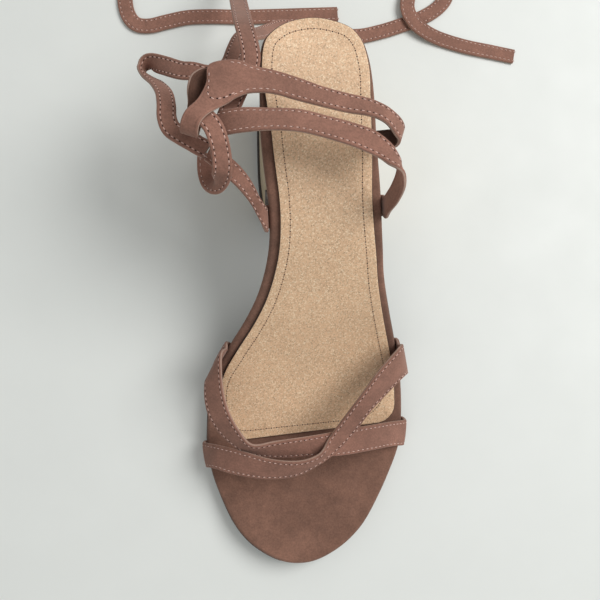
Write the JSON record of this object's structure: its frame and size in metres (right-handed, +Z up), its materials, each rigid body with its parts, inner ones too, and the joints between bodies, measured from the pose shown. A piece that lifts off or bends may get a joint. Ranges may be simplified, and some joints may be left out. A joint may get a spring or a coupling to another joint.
{
  "type": "sandal",
  "caption": "Open-toe lace-up sandal for the left foot, with crossing vamp straps, an ankle collar with long flat ties and a covered block heel.",
  "frame": {"origin": "centre of the top lift's underside, on the floor", "axes": "+Z up, toe towards -Y, heel towards +Y, outer side of the left foot towards +X"},
  "size_m": [0.1898, 0.2895, 0.0901],
  "materials": {
    "suede": "brown suede, soft nap",
    "sock": "tan grained leather with a fine sparkle",
    "gold": "gold foil over a block",
    "sole": "dark brown, smooth, half matt",
    "lift": "near black, matt"
  },
  "bodies": {
    "root": {"outsole": "sole", "footbed": "suede", "insole_sock": "sock", "heel_block": "gold", "top_lift": "lift", "vamp_straps": "suede", "ankle_collar": "suede", "lateral_tie": "suede", "medial_tie": "suede", "bow_loop": "suede", "tie_long": "suede", "tie_short": "suede"}
  },
  "joints": []
}
